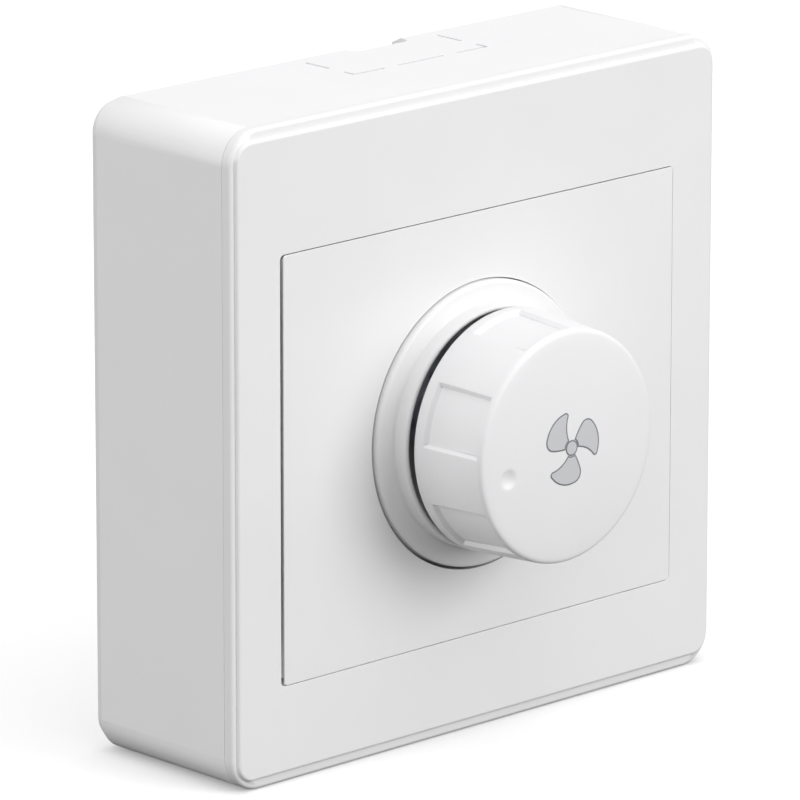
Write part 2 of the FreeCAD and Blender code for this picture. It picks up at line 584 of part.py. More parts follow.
def blade_outline():
    """One blade as six arcs: leading edge, tip, outer edge, trailing corner, trailing edge, root."""
    tip, root = number("symbol_radius"), number("blade_root")
    polar = [(root, -5), (0.58 * tip, -13), (0.88 * tip, -23), (0.96 * tip, -21), (0.99 * tip, -15),
             (tip, 12), (0.96 * tip, 40), (0.85 * tip, 53), (0.67 * tip, 59), (0.45 * tip, 62), (root, 64),
             (root, 28)]
    points = [Vector(r * math.cos(math.radians(a)), 0, r * math.sin(math.radians(a))) for r, a in polar]
    arcs = []
    for start in range(0, len(points), 2):
        three = (points[start], points[start + 1], points[(start + 2) % len(points)])
        arcs.append(Part.Arc(*three).toShape())
    return Part.Wire(arcs)


def make_spindle():
    """Steel spindle, flatted at both ends, with a groove for its clip."""
    body = new_body("spindle_turning")
    profile = new_sketch(body, "spindle_profile", "YZ_Plane")
    draw_profile(profile, [
        ("0", "spindle_rear"), ("spindle_radius", "spindle_rear"), ("spindle_radius", "clip_rear"),
        ("clip_groove", "clip_rear"), ("clip_groove", "clip_rear + clip_thickness"),
        ("spindle_radius", "clip_rear + clip_thickness"), ("spindle_radius", "spindle_front"),
        ("0", "spindle_front")])
    revolve(body, profile)
    place(body, z="axis_height")
    flat_z = "axis_height + spindle_flat + spindle_radius / 2"
    flats = [block("spindle_flat", "2 * spindle_radius", "spindle_radius", rear, front, z=flat_z)
             for rear, front in (("spindle_rear", "clip_rear - body_gap"), ("grip_rim", "spindle_front"))]
    keep("spindle", cut("spindle", body, *flats))
    spring = block("spring_leaf", "spring_width", "spring_strip", "grip_rim + body_gap",
                   "grip_rim + body_gap + spring_length", z="axis_height + spindle_flat + spring_strip / 2")
    keep("knob_grip_spring", spring)
    ring = round_bar("clip_disc", "clip_radius", "clip_rear", "clip_rear + clip_thickness")
    bore = round_bar("clip_bore", "clip_groove", "clip_rear", "clip_rear + clip_thickness")
    mouth = block("clip_mouth", "clip_groove", "clip_radius", "clip_rear", "clip_rear + clip_thickness",
                  z="axis_height - clip_radius / 2")
    keep("spindle_clip", cut("spindle_clip", ring, bore, mouth))


def tube(name, outer, inner, rear, front, x="0", z="axis_height"):
    """A plain ring or sleeve along the knob's direction."""
    sleeve = round_bar(name + "_outside", outer, rear, front, x, z)
    return cut(name, sleeve, round_bar(name + "_bore", inner, rear, front, x, z))


def nut(name, flats, bore, rear, front, x="0", z="axis_height"):
    """A hexagon nut whose size across flats is given."""
    hexagon = doc.addObject("Part::Prism", name + "_hexagon")
    hexagon.Polygon = 6
    hexagon.setExpression("Circumradius", bound("(%s) / 2" % flats) + " / cos(30deg)")
    hexagon.setExpression("Height", bound("(%s) - (%s)" % (front, rear)))
    place(hexagon, x, "-(%s)" % rear, z, FRONTWARDS)
    return cut(name, hexagon, round_bar(name + "_bore", bore, rear, front, x, z))


def make_bush_and_nut():
    """Threaded bush of the potentiometer, clamped to the strap by a washer and a nut."""
    strap_front = "strap_front_face"
    keep("spindle_bush", tube("spindle_bush", "bush_radius", "spindle_radius + running_gap",
                              "strap_seat", "bush_front"))
    hole = "bush_radius + running_gap"
    keep("bush_washer", tube("bush_washer", "washer_radius", hole, strap_front,
                             strap_front + " + washer_thickness"))
    keep("bush_nut", nut("bush_nut", "nut_flats", hole, strap_front + " + washer_thickness",
                         strap_front + " + washer_thickness + nut_thickness"))


def make_potentiometer():
    """Steel can, resistive track with its three pins, and the wiper that turns with the spindle."""
    can = round_bar("can_outside", "can_radius", "can_rear", "strap_seat")
    hollow = round_bar("can_hollow", "can_radius - can_wall", "can_rear", "strap_seat - can_wall")
    bore = round_bar("can_bore", "spindle_radius + running_gap", "can_rear", "strap_seat")
    gate = block("can_gate", "tongue_width + 2 * body_gap", "can_radius", "can_rear",
                 "track_rear + track_thickness + body_gap", z="axis_height - can_radius")
    keep("potentiometer_can", cut("potentiometer_can", can, hollow, bore, gate))
    wafer = fuse("track_wafer", round_bar("track_disc", "track_radius", "track_rear", "track_front"),
                 block("track_tongue", "tongue_width", "tongue_reach / 2", "track_rear", "track_front",
                       z="axis_height - tongue_reach * 3 / 4"))
    keep("resistive_track", cut("resistive_track", wafer, round_bar("track_bore", "track_bore", "track_rear",
                                                                    "track_front")))
    rotor = round_bar("rotor_disc", "rotor_radius", "rotor_rear", "rotor_rear + rotor_thickness")
    key = round_bar("rotor_bore", "spindle_radius + running_gap", "rotor_rear",
                    "rotor_rear + rotor_thickness")
    key_top = block("rotor_key", "3 * spindle_radius", "spindle_radius", "rotor_rear",
                    "rotor_rear + rotor_thickness",
                    z="axis_height + spindle_flat + running_gap + spindle_radius / 2")
    keep("wiper_rotor", cut("wiper_rotor", rotor, cut("rotor_keyway", key, key_top)))
    contact = block("contact_strip", "can_wall * 2", "spring_width", "rotor_rear - contact_thickness",
                    "rotor_rear", z="axis_height - (spindle_radius + rotor_radius) / 2")
    keep("wiper_contact", contact)


def make_push_switch():
    """Push switch behind the spindle: housing, plunger and its conical return spring."""
    shell = block("switch_shell", "switch_side", "switch_side", "switch_rear", "switch_front")
    room = "switch_side - 2 * switch_wall"
    hollow = block("switch_hollow", room, room, "switch_rear + switch_wall", "switch_front - switch_wall")
    mouth = round_bar("switch_mouth", "plunger_radius + running_gap", "switch_rear + switch_wall",
                      "switch_front")
    keep("switch_housing", cut("switch_housing", shell, hollow, mouth))
    seat = "switch_front - switch_wall - running_gap - plunger_flange_thickness"
    keep("switch_plunger", fuse(
        "switch_plunger", round_bar("plunger_stem", "plunger_radius", seat, "plunger_tip"),
        round_bar("plunger_flange", "plunger_flange", seat, seat + " + plunger_flange_thickness")))
    floor = "switch_rear + switch_wall + running_gap"
    top = seat + " - running_gap"
    cone = cone_bar("spring_cone", "plunger_flange", "dome_crown + dome_thickness", floor, top)
    inside = cone_bar("spring_inside", "plunger_flange - dome_thickness", "dome_crown", floor, top)
    keep("switch_spring", cut("switch_spring", cone, inside))


def strap_slot(name, x):
    """A cutter for one slot in the strap, 6 mm end to end."""
    ends = "(strap_slot_length - strap_slot_width) / 2"
    low, high = "strap_seat", "strap_front_face"
    return fuse(name, block(name + "_middle", "strap_slot_length - strap_slot_width", "strap_slot_width",
                            low, high, x),
                round_bar(name + "_left", "strap_slot_width / 2", low, high, "%s - %s" % (x, ends)),
                round_bar(name + "_right", "strap_slot_width / 2", low, high, "%s + %s" % (x, ends)))


def make_strap():
    """Pressed steel strap that carries the mechanism and screws to the two bosses."""
    low, high = "strap_seat", "strap_front_face"
    plate = fuse("strap_blank", block("strap_middle", "strap_neck", "strap_height", low, high),
                 block("strap_ends", "strap_width", "strap_end_height", low, high))
    tools = [round_bar("bush_hole", "bush_radius + running_gap", low, high),
             round_bar("trimmer_access", "access_radius", low, high, "trimmer_x", "trimmer_z"),
             round_bar("triac_screw_hole", "triac_screw_radius + running_gap", low, high, "triac_x",
                       "triac_hole_z"),
             strap_slot("left_slot", "-boss_spacing / 2"), strap_slot("right_slot", "boss_spacing / 2")]
    tools += [round_bar("stake_hole", "stake_radius + running_gap", low, high, x, z)
              for x, z in stake_places()]
    keep("mounting_strap", cut("mounting_strap", plate, *tools))
    screws = [slotted_screw("strap_screw_%d" % index, "strap_screw_head", "strap_screw_head_height",
                            "strap_screw_shank", "strap_screw_length", high, x, "axis_height")
              for index, x in enumerate(("boss_spacing / 2", "-boss_spacing / 2"))]
    keep("strap_screws", group("strap_screws", *screws))


def slotted_screw(name, head, head_height, shank, length, seat, x, z):
    """A screw whose head lies in front of the seat, with a driver slot."""
    crown = "%s + %s" % (seat, head_height)
    solid = fuse(name, round_bar(name + "_head", head, seat, crown, x, z),
                 round_bar(name + "_shank", shank, "%s - %s" % (seat, length), seat, x, z))
    slot = block(name + "_slot", "2 * (%s)" % head, "driver_slot", "%s - driver_slot" % crown, crown, x, z)
    return cut(name + "_slotted", solid, slot)


def pillar_places():
    return [("pillar_left_x", "pillar_left_z"), ("pillar_right_x", "pillar_right_z"),
            ("pillar_top_x", "pillar_top_z")]


def make_board_fixings():
    """Three tapped pillars from the strap to the board, and their screws from behind."""
    pillars, screws = [], []
    for index, (x, z) in enumerate(pillar_places()):
        pillar = round_bar("pillar_%d" % index, "pillar_radius", "board_front", "strap_seat", x, z)
        bore = round_bar("pillar_bore_%d" % index, "pillar_bore", "board_front",
                         "board_front + pillar_bore_depth", x, z)
        pillars.append(cut("pillar_tapped_%d" % index, pillar, bore))
        head = round_bar("board_screw_head_%d" % index, "board_screw_head",
                         "board_rear - board_screw_head_height", "board_rear", x, z)
        shank = round_bar("board_screw_shank_%d" % index, "pillar_bore - running_gap", "board_rear",
                          "board_front + pillar_bore_depth - body_gap", x, z)
        screws.append(fuse("board_screw_%d" % index, head, shank))
    keep("board_pillars", group("board_pillars", *pillars))
    keep("board_screws", group("board_screws", *screws))


def make_triac():
    """Triac with its metal tab against a bent aluminium heat sink, held by a screw and a nut."""
    sink_rear = "strap_seat - sink_thickness"
    width, height = "sink_right - sink_left", "sink_top - sink_bottom"
    x, z = "(sink_left + sink_right) / 2", "(sink_bottom + sink_top) / 2"
    sink = fuse("sink_blank", block("sink_plate", width, height, sink_rear, "strap_seat", x, z),
                block("sink_fin", "sink_fin_thickness", height, "sink_fin_rear", "strap_seat",
                      "sink_right - sink_fin_thickness / 2", z))
    hole = round_bar("sink_hole", "triac_screw_radius + running_gap", sink_rear, "strap_seat", "triac_x",
                     "triac_hole_z")
    keep("heat_sink", cut("heat_sink", sink, hole))
    body_z = "triac_hole_z - tab_hole_rise - triac_body / 2"
    rear, tab_rear = sink_rear + " - triac_thickness", sink_rear + " - tab_thickness"
    keep("triac_body", block("triac_body", "triac_width", "triac_body", rear, tab_rear, "triac_x", body_z))
    tab = block("triac_tab_plate", "triac_width", "triac_body + tab_length", tab_rear, sink_rear, "triac_x",
                body_z + " + tab_length / 2")
    tab_hole = round_bar("tab_hole", "tab_hole_radius", tab_rear, sink_rear, "triac_x", "triac_hole_z")
    keep("triac_tab", cut("triac_tab", tab, tab_hole))
    legs = []
    for index, (x, leg_z) in enumerate(triac_legs()):
        root = block("leg_root_%d" % index, "triac_leg", "triac_leg_reach", "triac_leg_depth",
                     "triac_leg_depth + triac_leg", x, "%s + (triac_leg_reach - triac_leg) / 2" % leg_z)
        drop = block("leg_drop_%d" % index, "triac_leg", "triac_leg", "lead_end",
                     "triac_leg_depth + triac_leg", x, leg_z)
        legs.append(fuse("leg_%d" % index, root, drop))
    keep("triac_legs", group("triac_legs", *legs))
    keep("triac_screw", slotted_screw("triac_screw", "triac_screw_head", "triac_screw_head_height",
                                      "triac_screw_radius", "triac_screw_length", "strap_front_face",
                                      "triac_x", "triac_hole_z"))
    keep("triac_nut", nut("triac_nut", "triac_nut_flats", "triac_screw_radius + running_gap",
                          tab_rear + " - triac_nut_thickness", tab_rear, "triac_x", "triac_hole_z"))


def triac_legs():
    z = "triac_hole_z - tab_hole_rise - triac_body - triac_leg_reach + triac_leg / 2"
    return [("triac_x %s" % shift, z) for shift in ("- triac_pitch", "+ 0", "+ triac_pitch")]


def make_choke():
    """Toroidal interference choke: a powder core with a spread winding of enamelled wire."""
    low, high = "choke_depth - choke_height / 2", "choke_depth + choke_height / 2"
    keep("choke_core", tube("choke_core", "choke_ring + choke_section / 2", "choke_ring - choke_section / 2",
                            low, high, "choke_x", "choke_z"))
    turns = int(number("choke_turns"))
    loops = []
    for index in range(turns):
        angle = 360.0 * (index + 0.5) / turns
        loop = doc.addObject("Part::Torus", "choke_turn_%d" % index)
        loop.setExpression("Radius1", bound("choke_turn_radius"))
        loop.setExpression("Radius2", bound("choke_wire"))
        turn = math.radians(angle)
        across = Vector(-math.sin(turn), 0, math.cos(turn))
        place(loop, "choke_x + choke_ring * %.6f" % math.cos(turn), "-choke_depth",
              "choke_z + choke_ring * %.6f" % math.sin(turn), Rotation(Vector(0, 0, 1), across))
        loops.append(loop)
    keep("choke_winding", group("choke_winding", *loops))


def make_fuse():
    """Glass cartridge fuse in two spring clips."""
    glass = cross_bar("fuse_glass", "fuse_radius", "fuse_length", "fuse_x", "fuse_depth", "fuse_z", UPRIGHT)
    hollow = cross_bar("fuse_hollow", "fuse_radius - fuse_wall", "fuse_length", "fuse_x", "fuse_depth",
                       "fuse_z", UPRIGHT)
    keep("fuse_tube", cut("fuse_tube", glass, hollow))
    caps, clips = [], []
    for index, side in enumerate(("+", "-")):
        cap_z = "fuse_z %s (fuse_length + cap_wall - cap_length) / 2" % side
        cap = cross_bar("cap_outside_%d" % index, "cap_radius", "cap_length + cap_wall", "fuse_x",
                        "fuse_depth", cap_z, UPRIGHT)
        caps.append(cut("cap_cup_%d" % index, cap, cross_bar("cap_inside_%d" % index, "fuse_radius",
                                                             "fuse_length", "fuse_x", "fuse_depth", "fuse_z",
                                                             UPRIGHT)))
        clip_width = "2 * (cap_radius + running_gap)"
        clip = block("clip_outside_%d" % index, clip_width + " + 2 * clip_wall", "fuse_clip_length",
                     "board_front", "fuse_depth + cap_radius / 2", "fuse_x", cap_z)
        room = block("clip_room_%d" % index, clip_width, "fuse_clip_length", "board_front + clip_wall",
                     "fuse_depth + cap_radius / 2", "fuse_x", cap_z)
        clips.append(cut("clip_shape_%d" % index, clip, room))
    keep("fuse_caps", group("fuse_caps", *caps))
    keep("fuse_clips", group("fuse_clips", *clips))


def make_terminals():
    """Three-way terminal block with a rising clamp and a slotted screw in each way."""
    z = "terminal_bottom + terminal_depth / 2"
    top = "board_front + terminal_height"
    housing = block("terminal_housing", "3 * terminal_pitch", "terminal_depth", "board_front", top, "0", z)
    rear, front = "board_front + terminal_cell_floor", "top_of_cell"
    tools, cages, screws = [], [], []
    for index, x in enumerate(("-terminal_pitch", "0", "terminal_pitch")):
        tools.append(block("cell_%d" % index, "terminal_cell", "terminal_depth - terminal_cell_floor", rear,
                           front, x, z + " - terminal_cell_floor / 2"))
        tools.append(round_bar("screw_well_%d" % index, "terminal_screw_head + body_gap", front, top, x, z))
        tools.append(round_bar("pin_way_%d" % index, "lead_hole_radius", "board_front", rear, x, z))
        cage = block("cage_%d" % index, "terminal_cell - body_gap", "terminal_cage",
                     rear + " + body_gap / 2", front + " - body_gap / 2", x, z)
        mouth = block("cage_mouth_%d" % index, "terminal_cell - body_gap - 2 * clamp_wall", "terminal_cage",
                      rear + " + body_gap / 2 + clamp_wall",
                      front + " - body_gap / 2 - 2 * clamp_wall", x, z)
        thread = round_bar("cage_thread_%d" % index, "terminal_screw_radius + running_gap",
                           front + " - 3 * clamp_wall", front, x, z)
        cages.append(cut("cage_cut_%d" % index, cage, mouth, thread))
        screws.append(slotted_screw("terminal_screw_%d" % index, "terminal_screw_head",
                                    "terminal_screw_head_height", "terminal_screw_radius",
                                    "terminal_screw_length", front, x, z))
    keep("terminal_block", cut("terminal_block", housing, *tools))
    keep("terminal_clamps", group("terminal_clamps", *cages))
    keep("terminal_screws", group("terminal_screws", *screws))


def axial_part(name, radius, length, pitch, x, z):
    """A resistor or diode lying on the board: a round body on a bent wire."""
    depth = "board_front + axial_rise"
    body = cross_bar(name + "_body", radius, length, x, depth, z, ALONG_X)
    wire = cross_bar(name + "_wire", "lead_radius", pitch, x, depth, z, ALONG_X)
    ends = [round_bar(name + "_end", "lead_radius", "lead_end", depth + " + lead_radius",
                      "%s %s (%s) / 2" % (x, side, pitch), z) for side in ("+", "-")]
    return fuse(name, body, wire, *ends)


def resistor_places():
    return [("resistor_x", "resistor_z + %d * resistor_row" % row) for row in range(3)]


def lead_places():
    """Every wire hole of the board, as x and z formulas."""
    places = [(side + "capacitor_pitch / 2 + capacitor_x", "capacitor_z") for side in ("", "-")]
    places += [("disc_x %s disc_pitch / 2" % side, "disc_z") for side in ("+", "-")]
    places += [(side + "switch_pin_pitch / 2", "axis_height") for side in ("", "-")]
    places += [(side + "track_pin_pitch", "axis_height - track_pin_reach") for side in ("", "-")]
    places += [("0", "axis_height - track_pin_reach")]
    places += [(x, "terminal_bottom + terminal_depth / 2") for x in ("-terminal_pitch", "0",
                                                                     "terminal_pitch")]
    return places


def make_board():
    """Board with its wire holes, and the small parts that stand on it."""
    body = new_body("board_laminate")
    outline = new_sketch(body, "board_outline", depth="board_rear")
    draw_rectangle(outline, "board_width", "board_top - board_bottom", "0", "(board_top + board_bottom) / 2")
    pad(body, outline, "board_front - board_rear")
    drilled = new_sketch(body, "board_holes", depth="board_front")
    axial = [("%s %s resistor_pitch / 2" % (x, side), z)
             for x, z in resistor_places() for side in ("+", "-")]
    axial += [("diac_x %s diac_pitch / 2" % side, "diac_z") for side in ("+", "-")]
    for x, z in lead_places() + axial + triac_legs():
        draw_circle(drilled, "lead_hole_radius", x, z)
    for x, z in pillar_places():
        draw_circle(drilled, "pillar_bore + running_gap", x, z)
    pocket(body, drilled, "board_front - board_rear")
    keep("circuit_board", body)
    tops = {"capacitor": "board_front", "disc": "board_front", "switch": "switch_rear",
            "track": "track_rear", "terminal": "board_front + terminal_cell_floor + body_gap / 2"}
    fronts = ["capacitor"] * 2 + ["disc"] * 2 + ["switch"] * 2 + ["track"] * 3 + ["terminal"] * 3
    pins = [round_bar("pin", "lead_radius", "lead_end", tops[kind], x, z)
            for kind, (x, z) in zip(fronts, lead_places())]
    keep("component_pins", group("component_pins", *pins))
    keep("suppression_capacitor", block("film_capacitor", "capacitor_width", "capacitor_thickness",
                                        "board_front", "board_front + capacitor_height", "capacitor_x",
                                        "capacitor_z"))
    keep("timing_capacitor", block("small_capacitor", "disc_width", "disc_thickness", "board_front",
                                   "board_front + disc_height", "disc_x", "disc_z"))
    resistors = [axial_part("resistor_%d" % row, "resistor_radius", "resistor_length", "resistor_pitch",
                            x, z)
                 for row, (x, z) in enumerate(resistor_places())]
    keep("resistors", group("resistors", *resistors))
    keep("diac", axial_part("diac_part", "diac_radius", "diac_length", "diac_pitch", "diac_x", "diac_z"))


def make_trimmer():
    """Minimum-speed trimmer: a fixed base and a slotted rotor reached through the strap."""
    base_top = "board_front + trimmer_height"
    base = block("trimmer_body", "trimmer_side", "trimmer_side", "board_front", base_top, "trimmer_x",
                 "trimmer_z")
    socket = round_bar("trimmer_socket", "trimmer_pivot + running_gap", base_top + " - trimmer_pivot_reach",
                       base_top, "trimmer_x", "trimmer_z")
    keep("trimmer_base", cut("trimmer_base", base, socket))
    keep("trimmer_rotor", slotted_screw(
        "trimmer_rotor", "trimmer_rotor_radius", "trimmer_rotor_height", "trimmer_pivot",
        "trimmer_pivot_reach", base_top + " + body_gap", "trimmer_x", "trimmer_z"))


def main():
    for make in (make_back_box, make_cover_frame, make_centre_plate, make_knob_collar, make_knob,
                 make_spindle, make_bush_and_nut, make_potentiometer, make_push_switch, make_strap,
                 make_board_fixings, make_triac, make_choke, make_fuse, make_terminals, make_board,
                 make_trimmer):
        make()
    doc.recompute()
    broken = [item.Name for item in doc.Objects if "Invalid" in item.State or "Error" in item.State]
    broken += [name for name, piece in pieces.items() if piece.Shape.isNull() or not piece.Shape.isValid()]
    if broken:
        raise RuntimeError("failed: " + ", ".join(broken))
    os.makedirs("parts", exist_ok=True)
    for name, piece in pieces.items():
        piece.Shape.exportStep("parts/%s.step" % name)
        box = piece.Shape.BoundBox
        print("%-22s solids %2d  x %7.2f %7.2f  y %7.2f %7.2f  z %7.2f %7.2f" % (
            name, len(piece.Shape.Solids), box.XMin, box.XMax, box.YMin, box.YMax, box.ZMin, box.ZMax))


main()
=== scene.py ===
import math

import bmesh
import bpy
from mathutils import Matrix, Vector


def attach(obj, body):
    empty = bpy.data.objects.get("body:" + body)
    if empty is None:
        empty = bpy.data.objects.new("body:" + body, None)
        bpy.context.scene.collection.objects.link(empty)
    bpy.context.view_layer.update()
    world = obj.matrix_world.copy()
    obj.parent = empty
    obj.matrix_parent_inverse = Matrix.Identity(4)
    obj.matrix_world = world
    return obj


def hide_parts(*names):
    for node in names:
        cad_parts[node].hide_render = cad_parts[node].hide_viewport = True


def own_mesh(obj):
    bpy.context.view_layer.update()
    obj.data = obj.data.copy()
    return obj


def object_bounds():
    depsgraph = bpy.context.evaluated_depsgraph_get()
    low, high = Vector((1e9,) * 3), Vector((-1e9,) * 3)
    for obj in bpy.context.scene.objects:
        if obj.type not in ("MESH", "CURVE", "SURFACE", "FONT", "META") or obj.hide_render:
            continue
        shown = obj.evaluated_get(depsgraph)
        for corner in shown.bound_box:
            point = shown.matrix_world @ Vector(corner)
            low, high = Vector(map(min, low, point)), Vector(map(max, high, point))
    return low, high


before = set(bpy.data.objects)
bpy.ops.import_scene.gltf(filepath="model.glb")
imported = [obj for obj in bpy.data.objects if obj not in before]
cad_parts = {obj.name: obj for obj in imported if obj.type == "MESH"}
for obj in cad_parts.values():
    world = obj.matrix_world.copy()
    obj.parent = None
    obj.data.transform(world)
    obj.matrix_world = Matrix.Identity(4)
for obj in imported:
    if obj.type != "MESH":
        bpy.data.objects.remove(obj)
cad_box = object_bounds()

# ---- Camera ------------------------------------------------------------------------------------
# A long lens from the front left and a little above the control.
view_azimuth, view_elevation = math.radians(-43.45), math.radians(14.97)
look_at = Vector((-0.01781, -0.027, 0.00955))
distance = 1.003
backwards = Vector((math.sin(view_azimuth) * math.cos(view_elevation),
                    -math.cos(view_azimuth) * math.cos(view_elevation), math.sin(view_elevation)))
camera_data = bpy.data.cameras.new("camera")
camera_data.lens = 356.0
camera_data.shift_x, camera_data.shift_y = 0.025, -0.0494
camera = bpy.data.objects.new("camera", camera_data)
bpy.context.scene.collection.objects.link(camera)
camera.location = look_at + backwards * distance
camera.rotation_euler = (math.pi / 2 - view_elevation, 0, view_azimuth)
bpy.context.scene.camera = camera

# ---- Floor and light ---------------------------------------------------------------------------
# A white floor and a white surround.  Both look brighter to the lens than the light they throw
# back, so that the undersides of the control stay in soft shade.
floor_mesh = bpy.data.meshes.new("floor")
bm = bmesh.new()
bmesh.ops.create_grid(bm, x_segments=1, y_segments=1, size=6.0,
                      matrix=Matrix.Translation((0, 0, cad_box[0].z - 0.00005)))
bm.to_mesh(floor_mesh)
bm.free()
floor = bpy.data.objects.new("floor", floor_mesh)
bpy.context.scene.collection.objects.link(floor)


def empty_tree(owner):
    """The node tree of a material or world, cleared of every node."""
    owner.use_nodes = True
    owner.node_tree.nodes.clear()
    return owner.node_tree


floor_paint = bpy.data.materials.new("floor_white")
tree = empty_tree(floor_paint)
seen = tree.nodes.new("ShaderNodeLightPath").outputs["Is Camera Ray"]
card = tree.nodes.new("ShaderNodeMix")
card.data_type = "RGBA"
tree.links.new(seen, card.inputs["Factor"])
card.inputs["A"].default_value = (0.16, 0.16, 0.16, 1)
card.inputs["B"].default_value = (0.90, 0.90, 0.90, 1)
matt = tree.nodes.new("ShaderNodeBsdfDiffuse")
tree.links.new(card.outputs["Result"], matt.inputs["Color"])
lift = tree.nodes.new("ShaderNodeEmission")
lift.inputs["Color"].default_value = (1, 1, 1, 1)
raise_by = tree.nodes.new("ShaderNodeMath")
raise_by.operation = "MULTIPLY"
raise_by.inputs[1].default_value = 0.2
tree.links.new(seen, raise_by.inputs[0])
tree.links.new(raise_by.outputs[0], lift.inputs["Strength"])
both = tree.nodes.new("ShaderNodeAddShader")
tree.links.new(matt.outputs[0], both.inputs[0])
tree.links.new(lift.outputs[0], both.inputs[1])
surface = tree.nodes.new("ShaderNodeOutputMaterial")
tree.links.new(both.outputs[0], surface.inputs[0])
floor_mesh.materials.append(floor_paint)


def soft_panel(name, place, aim, size, power):
    """A square area light at a place, turned towards a point."""
    data = bpy.data.lights.new(name, "AREA")
    data.shape = "SQUARE"
    data.size = size
    data.energy = power
    light = bpy.data.objects.new(name, data)
    bpy.context.scene.collection.objects.link(light)
    light.location = place
    light.rotation_mode = "QUATERNION"
    light.rotation_quaternion = (Vector(aim) - Vector(place)).to_track_quat("-Z", "Y")


soft_panel("light_above", (0.1, -0.25, 1.1), (0, 0, 0), 0.8, 1.7)
soft_panel("light_front", (0.6, -1.4, 0.42), (0, 0, 0), 0.9, 12.4)
soft_panel("light_left", (-1.4, 0.15, 0.45), (0, 0, 0), 0.7, 4.5)

world = bpy.data.worlds.new("surround")
bpy.context.scene.world = world
tree = empty_tree(world)
seen = tree.nodes.new("ShaderNodeLightPath").outputs["Is Camera Ray"]
level = tree.nodes.new("ShaderNodeMapRange")
tree.links.new(seen, level.inputs["Value"])
level.inputs["To Min"].default_value = 0.8
level.inputs["To Max"].default_value = 1.05
sky = tree.nodes.new("ShaderNodeBackground")
sky.inputs["Color"].default_value = (0.995, 0.99, 1.0, 1)
tree.links.new(level.outputs["Result"], sky.inputs["Strength"])
surface = tree.nodes.new("ShaderNodeOutputWorld")
tree.links.new(sky.outputs[0], surface.inputs[0])
bpy.context.scene.view_settings.view_transform = "Standard"

# ---- Back box ----------------------------------------------------------------------------------
# The open box that screws to the wall: an injection-moulded shell in matt white plastic, with
# scored knock-outs on top.  Its moulded edges are very slightly rounded.


def textured(name, colour, roughness, **look):
    """A surface with mottled colour, uneven gloss and a fine relief.

    look may give metallic, transmission, specular, coat, grain (size in metres), relief (height in
    metres), spread (how much colour and gloss vary) and stretch (the relief's scale on each axis).
    """
    material = bpy.data.materials.new(name)
    tree = empty_tree(material)
    shader = tree.nodes.new("ShaderNodeBsdfPrincipled")
    shader.inputs["Metallic"].default_value = look.get("metallic", 0.0)
    shader.inputs["Transmission Weight"].default_value = look.get("transmission", 0.0)
    shader.inputs["Specular IOR Level"].default_value = look.get("specular", 0.5)
    shader.inputs["Coat Weight"].default_value = look.get("coat", 0.0)
    surface = tree.nodes.new("ShaderNodeOutputMaterial")
    tree.links.new(shader.outputs[0], surface.inputs[0])
    where = tree.nodes.new("ShaderNodeTexCoord").outputs["Object"]
    spread = look.get("spread", 0.02)

    cloud = tree.nodes.new("ShaderNodeTexNoise")
    cloud.inputs["Scale"].default_value = 90.0
    cloud.inputs["Detail"].default_value = 5.0
    tree.links.new(where, cloud.inputs["Vector"])
    tint = tree.nodes.new("ShaderNodeMix")
    tint.data_type = "RGBA"
    tint.inputs["A"].default_value = [channel * (1 - spread) for channel in colour] + [1]
    tint.inputs["B"].default_value = [min(1, channel * (1 + spread)) for channel in colour] + [1]
    tree.links.new(cloud.outputs[0], tint.inputs["Factor"])
    tree.links.new(tint.outputs["Result"], shader.inputs["Base Color"])

    aligned = tree.nodes.new("ShaderNodeMapping")
    aligned.inputs["Scale"].default_value = look.get("stretch", (1, 1, 1))
    tree.links.new(where, aligned.inputs["Vector"])
    grain = tree.nodes.new("ShaderNodeTexNoise")
    grain.inputs["Scale"].default_value = 1 / look.get("grain", 0.0004)
    grain.inputs["Detail"].default_value = 3.0
    tree.links.new(aligned.outputs[0], grain.inputs["Vector"])
    gloss = tree.nodes.new("ShaderNodeMapRange")
    gloss.inputs["To Min"].default_value = max(0.02, roughness * (1 - 4 * spread))
    gloss.inputs["To Max"].default_value = min(1.0, roughness * (1 + 4 * spread))
    tree.links.new(grain.outputs[0], gloss.inputs["Value"])
    tree.links.new(gloss.outputs["Result"], shader.inputs["Roughness"])
    relief = tree.nodes.new("ShaderNodeBump")
    relief.inputs["Strength"].default_value = 1.0
    relief.inputs["Distance"].default_value = look.get("relief", 0.000006)
    tree.links.new(grain.outputs[0], relief.inputs["Height"])
    tree.links.new(relief.outputs[0], shader.inputs["Normal"])
    return material


def paint_nodes(material, *names):
    """Gives carried-over CAD nodes a material."""
    for name in names:
        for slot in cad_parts[name].material_slots:
            slot.link = "OBJECT"
            slot.material = material


def round_edges(node, width):
    """Softens the sharp edges of a carried-over CAD node."""
    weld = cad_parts[node].modifiers.new("weld", "WELD")
    weld.merge_threshold = 0.000005
    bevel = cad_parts[node].modifiers.new("soft_edges", "BEVEL")
    bevel.width = width
    bevel.segments = 2
    bevel.limit_method = "ANGLE"
    bevel.angle_limit = math.radians(40)
    bevel.harden_normals = True


box_plastic = textured("box_white", (0.89, 0.89, 0.895), 0.45, grain=0.0003, relief=0.000008)
paint_nodes(box_plastic, "back_box")
round_edges("back_box", 0.00014)

# ---- Cover frame -------------------------------------------------------------------------------
# The surround that snaps on the box: glossier white plastic.  A rim flush with the box's sides,
# then a raised face, both with soft edges; a ledge inside carries the centre plate.
MM = 0.001
face_plastic = textured("face_white", (0.875, 0.873, 0.873), 0.36, grain=0.0005, relief=0.000003, coat=0.12)


